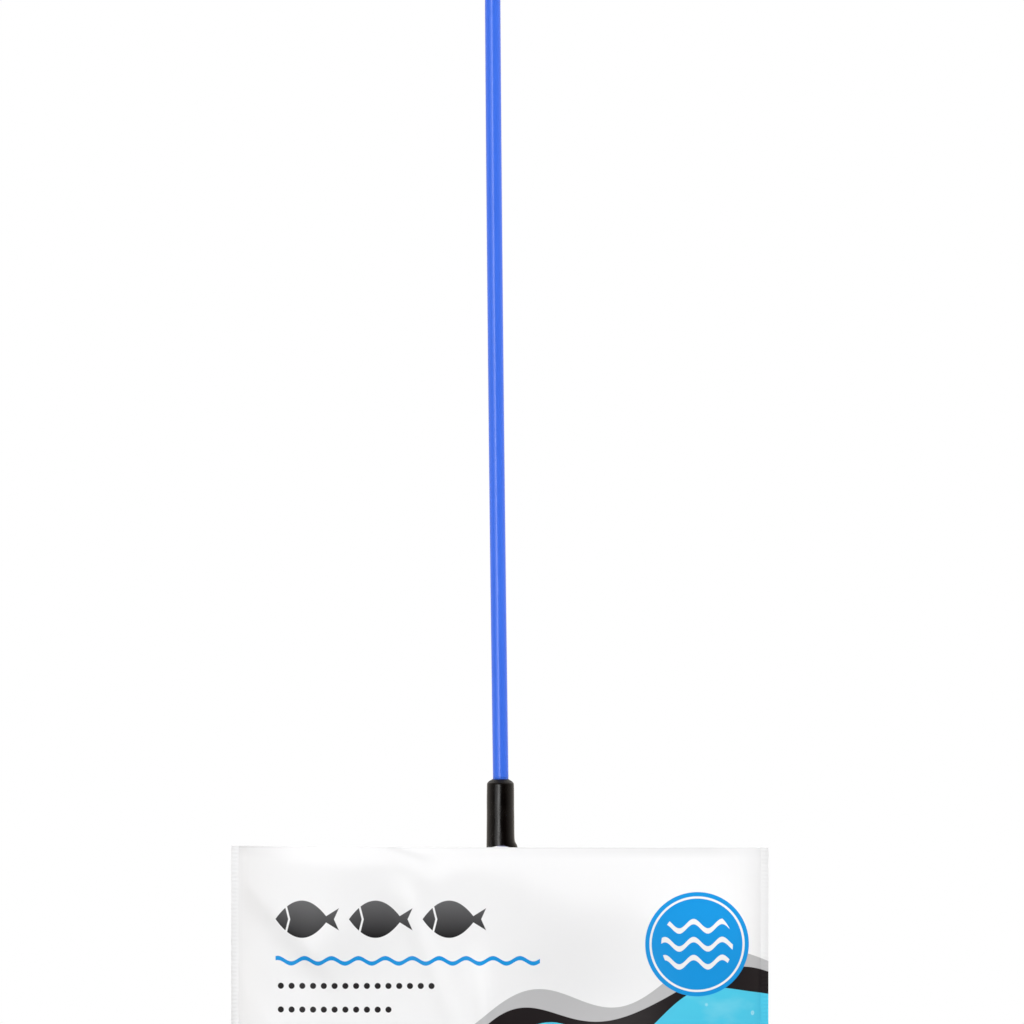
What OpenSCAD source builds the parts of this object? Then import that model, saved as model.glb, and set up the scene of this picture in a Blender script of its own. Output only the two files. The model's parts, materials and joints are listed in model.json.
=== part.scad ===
// Aquarium fish net. A coated steel handle with a hanging eye and a coated wire
// hoop meet in a black neck sleeve. A sewn mesh pouch hangs from the hoop, and
// the hoop and pouch lie in a printed retail bag that slips off downwards.
// Millimetres. The origin is the centre of the hanging eye, +Z is up, and the
// printed face of the bag looks along -Y.

/* [Handle] */
// Distance from the centre of the hanging eye to the top of the neck sleeve
handle_len = 250; // [120:5:500]
// Lean of the handle in its sleeve, in degrees, to the left at the top
handle_lean = 0.58; // [0:0.02:1]
// Diameter of the handle over its blue coating
handle_d = 4.2; // [3.6:0.1:5]
// Diameter of the steel core of the handle
handle_core_d = 3; // [2:0.1:3.4]
// Diameter of the hole in the hanging eye
eye_hole_d = 16; // [12:1:30]
// Radius of the wire's bend just below the hanging eye
eye_bend_r = 8; // [6:1:14]
// Length of wire that the tip cap covers
cap_len = 4; // [2:0.5:8]
// Wall of the tip cap
cap_wall = 0.35; // [0.2:0.05:0.6]

/* [Neck] */
// Length of the black neck sleeve
sleeve_len = 19.5; // [17:0.5:30]
// Diameter of the neck sleeve at its top
sleeve_top_d = 7.5; // [7:0.05:8]
// Diameter of the neck sleeve just above its lip
sleeve_low_d = 7.8; // [7.3:0.1:8.5]
// Radius of the rounded shoulder at the top of the sleeve
sleeve_round = 1.35; // [0.3:0.05:1.4]
// Diameter of the flared lip at the bottom of the sleeve
lip_d = 8.6; // [8:0.1:10]
// Height of the flared lip
lip_h = 1.5; // [0.8:0.1:3]
// How far the lip is pushed to the right by the hoop wire under it
lip_shift = 0.45; // [0:0.05:0.6]
// Diameter of the steel ferrule that joins handle and hoop inside the sleeve
ferrule_d = 5.4; // [5.2:0.1:5.8]
// Length of the steel ferrule
ferrule_len = 10; // [8:0.5:11]

/* [Hoop] */
// Width of the hoop between the middles of its side wires
hoop_w = 127; // [90:1:132]
// Distance from the sleeve's lower end to the middle of the bottom wire
hoop_drop = 115; // [95:1:120]
// Diameter of the hoop wire over its blue coating
hoop_d = 2.6; // [2.2:0.1:2.6]
// Diameter of the steel core of the hoop
hoop_core_d = 1.8; // [1.2:0.1:2]
// Angle of the shoulders away from straight down, in degrees
shoulder_angle = 75; // [60:1:85]
// Radius of the bend where each wire leaves the neck
neck_bend_r = 10; // [6:1:16]
// Radius of the two upper corners of the hoop
top_corner_r = 18; // [10:1:24]
// Radius of the two lower corners of the hoop
low_corner_r = 18; // [10:1:24]

/* [Mesh pouch] */
// How far the flattened pocket hangs below the bottom wire
pocket_depth = 60; // [40:1:62]
// How much narrower the pocket is at its bottom, on each side
pocket_taper = 8; // [0:1:20]
// Radius of the two bottom corners of the pocket
pocket_corner_r = 16; // [8:1:24]
// Thickness of a mesh panel
mesh_t = 0.4; // [0.3:0.05:0.5]
// Distance from one gap in the mesh to the next
gap_pitch = 11; // [10:0.5:16]
// Side of one gap in the mesh
gap_side = 9; // [6:0.5:9.5]
// Thickness of the tape that is sewn round the hoop wire
tape_t = 0.45; // [0.3:0.05:0.5]
// Width of the tape that binds the sides and bottom of the pocket
seam_w = 3; // [2:0.25:5]
// Diameter of the sewing thread
thread_d = 0.5; // [0.3:0.05:0.55]
// Length of one stitch
stitch_len = 4.5; // [3:0.5:5.5]
// Distance from one stitch to the next
stitch_pitch = 8; // [6:0.5:12]

/* [Retail bag] */
// Width of the bag over its side seals
bag_w = 150; // [148:1:170]
// Length of the bag from its open mouth to its bottom edge
bag_len = 190; // [190:1:240]
// Thickness of the plastic film
film_t = 0.3; // [0.2:0.05:0.5]
// Width of the heat seals at the sides and the bottom
seal_w = 2.2; // [2:0.1:4]
// How far the front film stands off the back film at its fullest
bag_bulge = 10.6; // [10.4:0.1:16]
// How much of the sleeve the bag's mouth hides
bag_overlap = 0.5; // [0:0.1:2]

/* [Hidden] */
$fn = 64;

// Colours of the real pieces.
blue = [0.27, 0.46, 0.96];
black = [0.13, 0.12, 0.12];
steel = [0.72, 0.73, 0.75];
nylon = [0.93, 0.95, 0.95];
blue_tape = [0.22, 0.38, 0.80];
thread = [0.80, 0.86, 0.90];
white_film = [0.94, 0.94, 0.94];
clear_film = [0.88, 0.92, 0.95];

// Clearances and overruns that fits share.
slip = 0.1;        // radial play of a wire in the hole it is pushed into
contact_gap = 0.05; // air left between a coating and its wire, or two sewn pieces
film_gap = 0.35;   // air between the bag and what it holds
overrun = 1;       // how far a cut runs past the solid

// Handle, in its own frame: the eye's centre at the origin, the shaft straight down.
handle_r = handle_d / 2;
core_r = handle_core_d / 2;
eye_r = eye_hole_d / 2 + handle_r;
cap_r = handle_r + contact_gap + cap_wall;
tip_gap = 0.3;
// The shaft bends away by this angle, then runs round the eye the other way.
eye_bend_drop = sqrt(pow(eye_r + eye_bend_r, 2) - pow(eye_bend_r, 2));
eye_bend_turn = atan2(eye_bend_drop, eye_bend_r);
// Angle left open in the eye, so that the capped tip just clears the bend.
tip_reach = eye_bend_r + handle_r + cap_r + tip_gap;
eye_open = acos((pow(eye_r, 2) + pow(eye_r + eye_bend_r, 2) - pow(tip_reach, 2))
    / (2 * eye_r * (eye_r + eye_bend_r)));
cap_end_turn = cap_r / eye_r * 180 / PI;
cap_turn = cap_len / eye_r * 180 / PI;
eye_turn = 360 - eye_open - cap_end_turn;

// Neck, measured down from the sleeve's top.
sleeve_lip_wall = 1.5;   // thickness of the sleeve's closed top
coating_seat = 3;        // how deep the handle's coating goes into the sleeve
core_space = 0.3;        // room between the ends of the cores in the ferrule
core_seat = (ferrule_len - core_space) / 2;
ferrule_top = coating_seat + slip;
ferrule_low = ferrule_top + ferrule_len;
ferrule_r = ferrule_d / 2;
sway = (coating_seat + core_seat) * tan(handle_lean);
lip_seat_r = sleeve_low_d / 2 - lip_shift;
leg_x = hoop_d / 2 + contact_gap;
sleeve_bore_r = max(ferrule_r, leg_x + hoop_d / 2) + contact_gap;
leg_drop = 1.5;          // straight wire below the sleeve before it bends

// The neck's place: the sleeve's top is at the lower end of the leaning shaft.
neck_at = [handle_len * sin(handle_lean), 0, -handle_len * cos(handle_lean)];
mouth_at = neck_at - [0, 0, sleeve_len];
bag_at = mouth_at + [0, 0, bag_overlap];

// Hoop, in the plane of its wire: x across and z up from the sleeve's lower end.
hoop_r = hoop_d / 2;
hoop_core_r = hoop_core_d / 2;
half_w = hoop_w / 2;
out_dir = [cos(shoulder_angle), sin(shoulder_angle)];
shoulder_dir = [sin(shoulder_angle), -cos(shoulder_angle)];
shoulder_len = (half_w - leg_x
    - (neck_bend_r + top_corner_r) * (1 - cos(shoulder_angle))) / sin(shoulder_angle);
neck_c = [leg_x + neck_bend_r, -leg_drop];
shoulder_top = neck_c - neck_bend_r * out_dir;
shoulder_end = shoulder_top + shoulder_len * shoulder_dir;
top_c = shoulder_end - top_corner_r * out_dir;
low_c = [half_w - low_corner_r, low_corner_r - hoop_drop];
side_len = top_c.y - low_c.y;
bottom_len = hoop_w - 2 * low_corner_r;

// Mesh pouch, in the same plane. Its panels lie behind the hoop wire.
tape_r = hoop_r + contact_gap + tape_t;
back_mesh_y = tape_r + contact_gap;
seam_front_y = -mesh_t;
seam_back_y = back_mesh_y + mesh_t + contact_gap;
pocket_z = -hoop_drop - pocket_depth;
pocket_c = [half_w - pocket_taper - pocket_corner_r, pocket_z + pocket_corner_r];
gap_border = 2.5;        // solid cloth left between a gap and the panel's edge
gap_margin = gap_side / 2 + gap_border;
hoop_clear = tape_r + slip;
arc_steps = 12;

// Bag, measured from the middle of its mouth. Its back film is flat.
bag_back_y = max(lip_d / 2, seam_back_y + thread_d) + film_gap;
bag_half = bag_w / 2 - seal_w;
bag_depth = bag_len - seal_w;
side_power = 6;          // how squarely the front film turns down to its side seals
end_power = 8;           // how squarely it turns down to the bottom seal
film_columns = 24;
film_rows = 16;

// Ring or disc that a wire or tube has as its cross-section.
module section(outer_r, inner_r) {
    difference() {
        circle(outer_r);
        if (inner_r > 0)
            circle(inner_r);
    }
}

// A bent wire or tube. Each step is [length, 0] for a straight run or
// [radius, turn] for a bend, towards +X where the turn is positive. The wire
// starts at the origin along +Z, and only steps first to last are drawn.
module bent_wire(steps, outer_r, inner_r = 0, first = 0, last = 99, at = 0) {
    if (at < len(steps)) {
        size = steps[at][0];
        turn = steps[at][1];
        centre = turn < 0 ? -size : size;
        if (at >= first && at <= last) {
            if (turn == 0)
                linear_extrude(size) section(outer_r, inner_r);
            else
                rotate([0, 0, turn < 0 ? 180 : 0])
                    translate([size, 0, 0])
                        rotate([90, 0, 180])
                            rotate_extrude(angle = abs(turn))
                                translate([size, 0])
                                    section(outer_r, inner_r);
        }
        if (turn == 0)
            translate([0, 0, size])
                bent_wire(steps, outer_r, inner_r, first, last, at + 1);
        else
            translate([centre, 0, 0])
                rotate([0, turn, 0])
                    translate([-centre, 0, 0])
                        bent_wire(steps, outer_r, inner_r, first, last, at + 1);
    }
}

// Turns a 2D shape upright, so that it fills y from front to back.
module upright(front, back) {
    translate([0, back, 0])
        rotate([90, 0, 0])
            linear_extrude(back - front)
                children();
}

function flipped(points) = [for (i = [len(points) - 1 : -1 : 0]) [-points[i].x, points[i].y]];
function both_sides(points) = concat(points, flipped(points));
function arc_points(centre, radius, from, to) =
    [for (i = [0 : arc_steps])
        let (t = from + (to - from) * i / arc_steps)
            centre + radius * [cos(t), sin(t)]];

// Handle: the shaft comes up, bends aside and runs round the eye.
function handle_steps(seat) = [
    [handle_len + seat - eye_bend_drop, 0],
    [eye_bend_r, -eye_bend_turn],
    [eye_r, eye_turn]
];

module lean() {
    rotate([0, -handle_lean, 0])
        children();
}

module handle_core() {
    color(steel)
        lean()
            translate([0, 0, -handle_len - ferrule_top - core_seat])
                bent_wire(handle_steps(ferrule_top + core_seat), core_r);
}

module handle_coating() {
    color(blue)
        lean()
            translate([0, 0, -handle_len - coating_seat])
                bent_wire(handle_steps(coating_seat), handle_r, core_r + contact_gap);
}

// The cap is pushed over the cut end of the wire, and its end is round.
module loop_end_cap() {
    tip_angle = 180 + eye_bend_turn - eye_turn;
    color(black)
        lean()
            rotate([90, 0, 0])
                rotate([0, 0, tip_angle]) {
                    rotate_extrude(angle = cap_turn)
                        translate([eye_r, 0])
                            section(cap_r, handle_r + contact_gap);
                    translate([eye_r, 0, 0])
                        intersection() {
                            sphere(cap_r);
                            translate([-cap_r - overrun, -cap_r - overrun, -cap_r - overrun])
                                cube([2 * (cap_r + overrun), cap_r + overrun, 2 * (cap_r + overrun)]);
                        }
                }
}

// One hole from above takes the handle's core, two from below the hoop's ends.
module neck_ferrule() {
    color(steel)
        translate(neck_at - [0, 0, ferrule_low])
            difference() {
                cylinder(h = ferrule_len, r = ferrule_r);
                translate([0, 0, ferrule_len - core_seat - slip])
                    cylinder(h = core_seat + slip + overrun, r = core_r + slip + sway);
                for (side = [-1, 1])
                    translate([side * leg_x, 0, -overrun])
                        cylinder(h = core_seat + slip + overrun, r = hoop_core_r + slip / 2);
            }
}

// Soft black vinyl: a round-shouldered tube whose lip is spread by the wires.
module neck_sleeve() {
    top_r = sleeve_top_d / 2;
    low_r = sleeve_low_d / 2;
    shoulder_c = [top_r - sleeve_round, sleeve_len - sleeve_round];
    profile = concat(
        [[0, 0], [low_r, 0]],
        arc_points(shoulder_c, sleeve_round, 0, 90),
        [[0, sleeve_len]]
    );
    color(black)
        translate(mouth_at)
            difference() {
                union() {
                    rotate_extrude()
                        polygon(profile);
                    translate([lip_shift, 0, 0])
                        cylinder(h = lip_h, r1 = lip_d / 2, r2 = lip_seat_r);
                }
                translate([0, 0, -overrun])
                    cylinder(h = sleeve_len + overrun - sleeve_lip_wall, r = sleeve_bore_r);
                translate([0, 0, sleeve_len - sleeve_lip_wall - overrun])
                    cylinder(h = sleeve_lip_wall + 2 * overrun, r = handle_r + slip + sway);
            }
}

// Hoop: down the right leg, round the net and back up the left leg.
function hoop_steps(leg) = [
    [leg + leg_drop, 0],
    [neck_bend_r, shoulder_angle],
    [shoulder_len, 0],
    [top_corner_r, -shoulder_angle],
    [side_len, 0],
    [low_corner_r, -90],
    [bottom_len, 0],
    [low_corner_r, -90],
    [side_len, 0],
    [top_corner_r, -shoulder_angle],
    [shoulder_len, 0],
    [neck_bend_r, shoulder_angle],
    [leg + leg_drop, 0]
];
shoulder_step = 2;
last_shoulder_step = 10;
coating_leg = sleeve_len - ferrule_low - slip;
core_leg = sleeve_len - ferrule_low + core_seat;

module hoop_wire(leg, outer_r, inner_r = 0, first = 0, last = 99) {
    translate(mouth_at + [leg_x, 0, leg])
        rotate([180, 0, 0])
            bent_wire(hoop_steps(leg), outer_r, inner_r, first, last);
}

module hoop_core() {
    color(steel)
        hoop_wire(core_leg, hoop_core_r);
}

module hoop_coating() {
    color(blue)
        hoop_wire(coating_leg, hoop_r, hoop_core_r + contact_gap);
}

// The tape is sewn round the wire from one shoulder to the other.
module hem_tape() {
    color(blue_tape)
        hoop_wire(coating_leg, tape_r, hoop_r + contact_gap, shoulder_step, last_shoulder_step);
}

// The hoop's outline, moved inwards by inset, as the points of its right half.
function rim_half(inset) =
    let (
        neck_r = neck_bend_r + inset,
        start = inset > leg_x ? acos((leg_x + neck_bend_r) / neck_r) : 0
    )
    concat(
        arc_points(neck_c, neck_r, 180 + start, 180 + shoulder_angle),
        arc_points(top_c, top_corner_r - inset, shoulder_angle, 0),
        arc_points(low_c, low_corner_r - inset, 0, -90)
    );

// The flattened pocket, from the hoop's lower corners down, moved in by inset.
function pocket_half(inset) = concat(
    [[half_w - inset, low_c.y]],
    arc_points(pocket_c, pocket_corner_r - inset, 0, -90)
);

module rim_outline(inset) {
    polygon(both_sides(rim_half(inset)));
}

module pocket_outline(inset) {
    polygon(both_sides(pocket_half(inset)));
}

module seam_outline() {
    difference() {
        pocket_outline(0);
        pocket_outline(seam_w);
        rim_outline(-hoop_clear);
    }
}

// Is a gap at x, z clear of the panel's edges by the margin?
function under_shoulder(x, z) =
    let (across = abs(x) - shoulder_top.x, fall = across / tan(shoulder_angle))
        z < shoulder_top.y - fall - gap_margin / sin(shoulder_angle);
function inside_corner(x, z, centre, radius, way) =
    abs(x) < centre.x || way * (z - centre.y) < 0
        || norm([abs(x) - centre.x, z - centre.y]) < radius - gap_margin;
function inside_sides(x, z) =
    let (fall = max(0, low_c.y - z) / (low_c.y - pocket_c.y))
        abs(x) < half_w - gap_margin - min(1, fall) * (pocket_taper + seam_w);
function gap_fits(x, z) =
    under_shoulder(x, z)
        && inside_sides(x, z)
        && inside_corner(x, z, top_c, top_corner_r, 1)
        && inside_corner(x, z, pocket_c, pocket_corner_r - seam_w, -1)
        && z > pocket_z + seam_w + gap_margin;

module mesh_gaps(top) {
    columns = floor(half_w / gap_pitch);
    rows = floor(-pocket_z / gap_pitch);
    for (row = [0 : rows], column = [-columns : columns]) {
        x = column * gap_pitch;
        z = pocket_z + seam_w + gap_margin + (row + 0.5) * gap_pitch;
        if (gap_fits(x, z) && z < top)
            translate([x, z])
                square(gap_side, center = true);
    }
}

// The back panel hangs from the top of the hoop to the bottom of the pocket.
module mesh_back_panel() {
    color(nylon)
        translate(mouth_at)
            upright(back_mesh_y, back_mesh_y + mesh_t)
                difference() {
                    rim_outline(0);
                    pocket_outline(0);
                    mesh_gaps(0);
                }
    color(nylon)
        translate(mouth_at)
            upright(back_mesh_y, back_mesh_y + mesh_t)
                difference() {
                    pocket_outline(0);
                    seam_outline();
                    mesh_gaps(0);
                }
}

// The front panel closes the pocket below the bottom wire.
module mesh_front_panel() {
    color(nylon)
        translate(mouth_at)
            upright(-mesh_t / 2, mesh_t / 2)
                difference() {
                    pocket_outline(seam_w);
                    rim_outline(-hoop_clear);
                    mesh_gaps(-hoop_drop - tape_r - gap_margin);
                }
}

// One tape binds both panels together down the sides and along the bottom.
module seam_tape() {
    color(blue_tape)
        translate(mouth_at)
            upright(seam_front_y, seam_back_y)
                seam_outline();
}

// A row of stitches that lies on a surface at y, from one point to another.
module stitch_row(from, to, y) {
    run = norm(to - from);
    count = floor(run / stitch_pitch);
    way = (to - from) / run;
    for (i = [0 : count - 1]) {
        middle = from + way * (run * (i + 0.5) / count);
        translate([middle.x, y + thread_d / 2, middle.y])
            rotate([0, atan2(way.x, way.y), 0])
                cylinder(h = stitch_len, d = thread_d, center = true);
    }
}

module on_both_sides() {
    children();
    mirror([1, 0, 0])
        children();
}

module hem_stitching() {
    color(thread)
        translate(mouth_at) {
            on_both_sides() {
                stitch_row(shoulder_top, shoulder_end, back_mesh_y + mesh_t);
                stitch_row(top_c + [top_corner_r, 0], low_c + [low_corner_r, 0], back_mesh_y + mesh_t);
            }
            stitch_row([-bottom_len / 2, -hoop_drop], [bottom_len / 2, -hoop_drop], back_mesh_y + mesh_t);
        }
}

module seam_stitching() {
    seam_mid = seam_w / 2;
    side_top = [half_w - seam_mid, low_c.y - low_corner_r];
    side_low = [pocket_c.x + pocket_corner_r - seam_mid, pocket_c.y];
    color(thread)
        translate(mouth_at) {
            on_both_sides()
                stitch_row(side_top, side_low, seam_back_y);
            stitch_row([-pocket_c.x, pocket_z + seam_mid], [pocket_c.x, pocket_z + seam_mid], seam_back_y);
        }
}

// A point of the front film. across and down are angles that crowd the points
// towards the seals, and shrink moves the whole sheet inwards.
function film_point(across, down, shrink) =
    let (
        fullness = sqrt(1 - pow(abs(sin(across)), side_power)) * sqrt(1 - pow(sin(down), end_power))
    )
    [
        (bag_half - shrink) * sin(across),
        bag_back_y - (bag_bulge - shrink) * fullness,
        -(bag_depth - shrink) * sin(down)
    ];

function film_sheet(shrink) = [
    for (row = [0 : film_rows], column = [0 : film_columns])
        film_point(180 * column / film_columns - 90, 90 * row / film_rows, shrink)
];

// Two triangles for the four-sided face a, b, c, d.
function halves(a, b, c, d) = [[a, b, c], [a, c, d]];
function joined(lists) = [for (list = lists) for (item = list) item];

module bag_front_film() {
    wide = film_columns + 1;
    inner = wide * (film_rows + 1);
    low = wide * film_rows;
    faces = joined([
        for (row = [0 : film_rows - 1], column = [0 : film_columns - 1])
            let (a = row * wide + column, b = a + 1, c = b + wide, d = a + wide)
                concat(halves(a, b, c, d), halves(inner + d, inner + c, inner + b, inner + a)),
        for (column = [0 : film_columns - 1])
            let (a = column, b = a + 1)
                concat(
                    halves(a, inner + a, inner + b, b),
                    halves(low + b, inner + low + b, inner + low + a, low + a)
                ),
        for (row = [0 : film_rows - 1])
            let (a = row * wide, b = a + wide, c = a + film_columns, d = c + wide)
                concat(
                    halves(b, inner + b, inner + a, a),
                    halves(c, inner + c, inner + d, d)
                )
    ]);
    color(white_film)
        translate(bag_at)
            polyhedron(concat(film_sheet(0), film_sheet(film_t)), faces);
}

module bag_back_film() {
    color(clear_film)
        translate(bag_at + [-bag_w / 2, bag_back_y, -bag_len])
            cube([bag_w, film_t, bag_len]);
}

// The front film's flat margin, welded to the back film.
module side_seal(left) {
    color(white_film)
        translate(bag_at + [left, bag_back_y - film_t, -bag_len])
            cube([seal_w, film_t, bag_len]);
}

module bag_left_seal() {
    side_seal(-bag_w / 2);
}

module bag_right_seal() {
    side_seal(bag_half);
}

module bag_bottom_seal() {
    color(white_film)
        translate(bag_at + [-bag_half, bag_back_y - film_t, -bag_len])
            cube([2 * bag_half, film_t, seal_w]);
}

handle_core();
handle_coating();
loop_end_cap();
neck_ferrule();
neck_sleeve();
hoop_core();
hoop_coating();
hem_tape();
hem_stitching();
mesh_back_panel();
mesh_front_panel();
seam_tape();
seam_stitching();
bag_front_film();
bag_back_film();
bag_left_seal();
bag_right_seal();
bag_bottom_seal();
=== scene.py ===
import json
from functools import partial
from math import acos, atan2, ceil, copysign, cos, exp, hypot, log1p, pi, radians, sin, sqrt, tan

import bmesh
import bpy
from mathutils import Matrix, Vector, noise


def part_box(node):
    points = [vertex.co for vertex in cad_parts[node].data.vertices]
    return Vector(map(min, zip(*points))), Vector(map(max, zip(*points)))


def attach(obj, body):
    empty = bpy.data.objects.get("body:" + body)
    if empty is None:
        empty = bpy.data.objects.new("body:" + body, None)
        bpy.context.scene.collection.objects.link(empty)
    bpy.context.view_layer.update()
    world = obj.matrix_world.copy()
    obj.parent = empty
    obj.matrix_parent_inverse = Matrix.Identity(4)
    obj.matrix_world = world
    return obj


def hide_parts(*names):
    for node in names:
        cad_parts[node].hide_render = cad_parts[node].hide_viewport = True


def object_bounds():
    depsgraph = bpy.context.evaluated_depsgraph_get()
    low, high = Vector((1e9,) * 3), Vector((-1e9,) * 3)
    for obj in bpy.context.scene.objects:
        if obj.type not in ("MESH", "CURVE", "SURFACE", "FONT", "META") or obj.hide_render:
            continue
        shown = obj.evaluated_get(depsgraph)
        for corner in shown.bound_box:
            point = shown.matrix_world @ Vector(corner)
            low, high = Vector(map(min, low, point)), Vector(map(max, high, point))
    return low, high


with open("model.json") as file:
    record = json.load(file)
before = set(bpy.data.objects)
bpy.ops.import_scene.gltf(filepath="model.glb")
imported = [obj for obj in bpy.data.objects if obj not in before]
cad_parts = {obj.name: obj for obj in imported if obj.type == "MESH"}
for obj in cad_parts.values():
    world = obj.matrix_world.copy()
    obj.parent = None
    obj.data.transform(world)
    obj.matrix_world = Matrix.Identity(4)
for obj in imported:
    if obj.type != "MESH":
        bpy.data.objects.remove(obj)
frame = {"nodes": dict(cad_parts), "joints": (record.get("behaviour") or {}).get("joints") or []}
cad_low, cad_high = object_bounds()
nodes = frame["nodes"]

# Camera. The bag's two edges in the photo give the scale, and they run parallel there, so
# the lens is very long. The handle runs off the top of the frame and the bag off its foot.
PHOTO_SIDE = 1024
BAG_LEFT_PX, BAG_RIGHT_PX, BAG_MOUTH_PX = 231.52, 769.37, 846.93
LENS, SENSOR = 500, 36
bag_low, bag_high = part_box("bag_back_film")
bag_x = (bag_low.x + bag_high.x) / 2
mouth_z = bag_high.z
pixel = (bag_high.x - bag_low.x) / (BAG_RIGHT_PX - BAG_LEFT_PX)
bag_mid_px = (BAG_LEFT_PX + BAG_RIGHT_PX) / 2
camera_data = bpy.data.cameras.new("photo_camera")
camera_data.lens, camera_data.sensor_width = LENS, SENSOR
camera = bpy.data.objects.new("photo_camera", camera_data)
bpy.context.scene.collection.objects.link(camera)
camera.location = (
    bag_x + (PHOTO_SIDE / 2 - bag_mid_px) * pixel,
    -PHOTO_SIDE * pixel * LENS / SENSOR,
    mouth_z + (BAG_MOUTH_PX - PHOTO_SIDE / 2) * pixel,
)
camera.rotation_euler = (pi / 2, 0, 0)
bpy.context.scene.camera = camera
bpy.context.scene.view_settings.view_transform = "Standard"

# Studio. A white room that is bright behind the net and dark in front of it, a soft box to the
# left of the camera that draws the bright line down the handle, and broad ones high up at both
# sides, which model the film's folds and aren't mirrored in the upright handle and sleeve.
ROOM_WHITE, ROOM_BACK, ROOM_DIM = 1.0, 0.85, 0.0
ROOM_DIM_AT, ROOM_BACK_AT = -0.75, 0.6
ROOM_WARM, ROOM_SEEN = (1.0, 0.92, 0.84), (1, 1, 1)
LAMP_AWAY = 2.0


def feed(target, value):
    """Links a socket to an input, or sets the input to a number or colour."""
    if isinstance(value, bpy.types.NodeSocket):
        target.id_data.links.new(value, target)
    else:
        target.default_value = value


def fill_in(node, **named):
    """Sets a node's settings, named in small letters, and feeds its inputs, with a capital."""
    for name, value in named.items():
        if name[0].islower():
            setattr(node, name, value)
        else:
            feed(node.inputs[name.replace("_", " ")], value)


def add_node(tree, kind, **named):
    made = tree.nodes.new("ShaderNode" + kind)
    fill_in(made, **named)
    return made


def split(vector):
    """The X, Y and Z outputs of a vector."""
    return add_node(vector.id_data, "SeparateXYZ", Vector=vector).outputs


def spread(value, low, high, start=0.0, end=1.0):
    """Maps a value from start..end to low..high."""
    ends = {"From_Min": start, "From_Max": end, "To_Min": low, "To_Max": high}
    return add_node(value.id_data, "MapRange", Value=value, **ends).outputs["Result"]


def two_tone(share, first, second):
    """Mixes two colours by a share from 0 to 1. Each colour may also be a socket."""
    first, second = [(*tone, 1) if isinstance(tone, tuple) else tone for tone in (first, second)]
    mix = add_node(share.id_data, "Mix", data_type="RGBA", Factor=share, A=first, B=second)
    return mix.outputs["Result"]


world = bpy.data.worlds.new("studio")
bpy.context.scene.world = world
world.use_nodes = True
room = world.node_tree
behind = split(add_node(room, "TexCoord").outputs["Generated"])["Y"]
fade = spread(behind, ROOM_DIM, ROOM_BACK, ROOM_DIM_AT, ROOM_BACK_AT)
seen = add_node(room, "LightPath").outputs["Is Camera Ray"]
fill_in(
    room.nodes["Background"],
    Strength=add_node(room, "Mix", Factor=seen, A=fade, B=ROOM_WHITE).outputs["Result"],
    Color=two_tone(seen, ROOM_WARM, ROOM_SEEN),
)


def soft_box(name, azimuth, elevation, width, height, watts, mirrored=True):
    """An area light, aimed at the middle of the net, that the pieces mirror or don't."""
    data = bpy.data.lights.new(name, "AREA")
    data.shape = "RECTANGLE"
    data.size, data.size_y = width, height
    data.energy = watts
    lamp = bpy.data.objects.new(name, data)
    lamp.visible_camera, lamp.visible_glossy = False, mirrored
    bpy.context.scene.collection.objects.link(lamp)
    turn, rise = radians(azimuth), radians(elevation)
    out = Vector((sin(turn) * cos(rise), -cos(turn) * cos(rise), sin(rise)))
    aim = Vector((bag_x, 0, (cad_low.z + cad_high.z) / 2))
    lamp.location = aim + LAMP_AWAY * out
    lamp.rotation_euler = out.to_track_quat("Z", "Y").to_euler()


soft_box("key_box", -14.5, 0, 0.55, 1.0, 9.3)
soft_box("left_box", -34, 0, 0.8, 1.0, 3.4)
soft_box("top_left_box", -62, 68, 3.0, 2.4, 41.0, False)
soft_box("top_right_box", 62, 68, 3.0, 2.4, 77.0, False)
soft_box("side_left_box", -86, 60, 1.6, 1.6, 3.6, False)
soft_box("side_right_box", 86, 60, 1.6, 1.6, 2.0, False)
soft_box("back_left_box", -150, 48, 1.6, 1.6, 10.0)
soft_box("back_right_box", 150, 48, 1.6, 1.6, 10.0)

# Floor. A pale round floor far enough below for the bag to slide off above it. Its rim
# melts into the white room.
FLOOR_DROP, FLOOR_R, FLOOR_MELTS_FROM, FLOOR_SIDES = 0.03, 0.75, 0.35, 96
travel = frame["joints"][0]["range_m"][1]
floor_middle = (bag_x, 0, cad_low.z - travel - FLOOR_DROP)


def finished(name, bm, material, closed=True):
    """Turns a bmesh into a smooth piece whose object sits at the origin."""
    data = bpy.data.meshes.new(name)
    if closed:
        bmesh.ops.recalc_face_normals(bm, faces=bm.faces)
    bm.to_mesh(data)
    bm.free()
    for polygon in data.polygons:
        polygon.use_smooth = True
    data.materials.append(material)
    piece = bpy.data.objects.new(name, data)
    bpy.context.scene.collection.objects.link(piece)
    return piece


def start_material(name, colour, rough):
    """A new node material. Returns it with its shader and its Object coordinates."""
    material = bpy.data.materials.new(name)
    material.use_nodes = True
    shader = material.node_tree.nodes["Principled BSDF"]
    fill_in(shader, Base_Color=(*colour, 1), Roughness=rough)
    return material, shader, add_node(material.node_tree, "TexCoord").outputs["Object"]


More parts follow.
